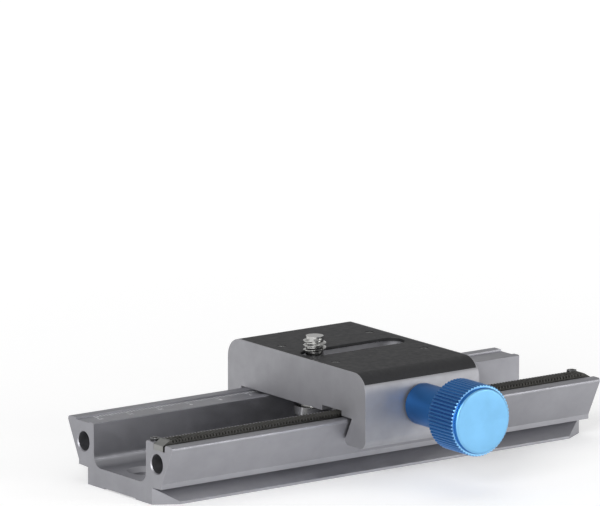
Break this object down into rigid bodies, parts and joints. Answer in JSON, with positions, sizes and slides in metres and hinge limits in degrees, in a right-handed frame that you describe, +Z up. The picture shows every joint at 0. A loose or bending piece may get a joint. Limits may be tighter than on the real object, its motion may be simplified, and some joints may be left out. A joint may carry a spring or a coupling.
{
  "type": "macro focusing rail",
  "caption": "Dovetail-footed aluminium rail with a geared carriage that a side knob drives to move a camera finely back and forth.",
  "frame": {"origin": "middle of the dovetail foot's underside", "axes": "+X along the rail towards the rear end, +Y to the side away from the drive knob, +Z up through the camera platform"},
  "size_m": [0.1456, 0.1012, 0.0355],
  "materials": {
    "grey_anodised": "fine satin, anodised slate grey",
    "blue_anodised": "bright satin, anodised blue, turned faces",
    "black_anodised": "satin, anodised black",
    "black_rubber": "matte",
    "rack_steel": "dark oxide, milled teeth",
    "black_steel": "black oxide",
    "bright_steel": "turned stainless",
    "brass": "turned",
    "black_plastic": "matte, self-lubricating"
  },
  "bodies": {
    "rail": {"rail_extrusion": "grey_anodised", "gear_rack": "rack_steel", "rack_screw_front": "black_steel", "end_stop_screw_front": "black_steel", "rack_screw_rear": "black_steel", "end_stop_screw_rear": "black_steel"},
    "carriage": {"carriage_block": "grey_anodised", "camera_mat": "black_rubber", "mat_screw_near_front": "black_steel", "mat_screw_far_front": "black_steel", "mat_screw_near_rear": "black_steel", "mat_screw_far_rear": "black_steel", "near_glide_strip": "black_plastic", "top_glide_strip_near": "black_plastic", "top_glide_strip_far": "black_plastic", "far_glide_strip_front": "black_plastic", "glide_set_screw_front": "black_steel", "carriage_stop_pin_front": "bright_steel", "far_glide_strip_rear": "black_plastic", "glide_set_screw_rear": "black_steel", "carriage_stop_pin_rear": "bright_steel", "outer_shaft_bush": "brass", "inner_shaft_bush": "brass"},
    "drive": {"focus_knob": "blue_anodised", "knob_sleeve": "blue_anodised", "knob_cap": "blue_anodised", "knob_screw": "black_steel", "pinion_shaft": "rack_steel", "drive_pinion": "rack_steel", "thrust_washer": "black_plastic", "sleeve_washer": "black_plastic"},
    "screw_slider": {"slot_washer": "bright_steel"},
    "camera_screw": {"camera_screw": "bright_steel", "screw_clip": "black_steel"},
    "lock_shoe": {"lock_shoe": "brass"},
    "lock_knob": {"lock_knob": "black_anodised", "lock_screw": "bright_steel"}
  },
  "joints": [
    {"name": "carriage_slide", "type": "slide", "parent": "rail", "child": "carriage", "axis": [1, 0, 0], "range_m": [-0.0589, 0.048]},
    {"name": "focus_turn", "type": "hinge", "parent": "carriage", "child": "drive", "pos_m": [0.0047, -0.01785, 0.0207], "axis": [0, 1, 0], "range_deg": [-1223, 997]},
    {"name": "screw_shift", "type": "slide", "parent": "carriage", "child": "screw_slider", "axis": [1, 0, 0], "range_m": [0, 0.026]},
    {"name": "screw_turn", "type": "hinge", "parent": "screw_slider", "child": "camera_screw", "pos_m": [-0.00755, 0, 0.017], "axis": [0, 0, 1], "continuous": true},
    {"name": "lock_travel", "type": "slide", "parent": "carriage", "child": "lock_shoe", "axis": [0, -1, 0], "range_m": [0, 0.0005]},
    {"name": "lock_turn", "type": "hinge", "parent": "lock_shoe", "child": "lock_knob", "pos_m": [0.00545, 0.03, 0.0136], "axis": [0, -1, 0], "range_deg": [0, 225]}
  ],
  "couplings": [
    {"joint": "focus_turn", "follows": "carriage_slide", "rad_per_m": 362.35},
    {"joint": "lock_turn", "follows": "lock_travel", "rad_per_m": 7854}
  ]
}
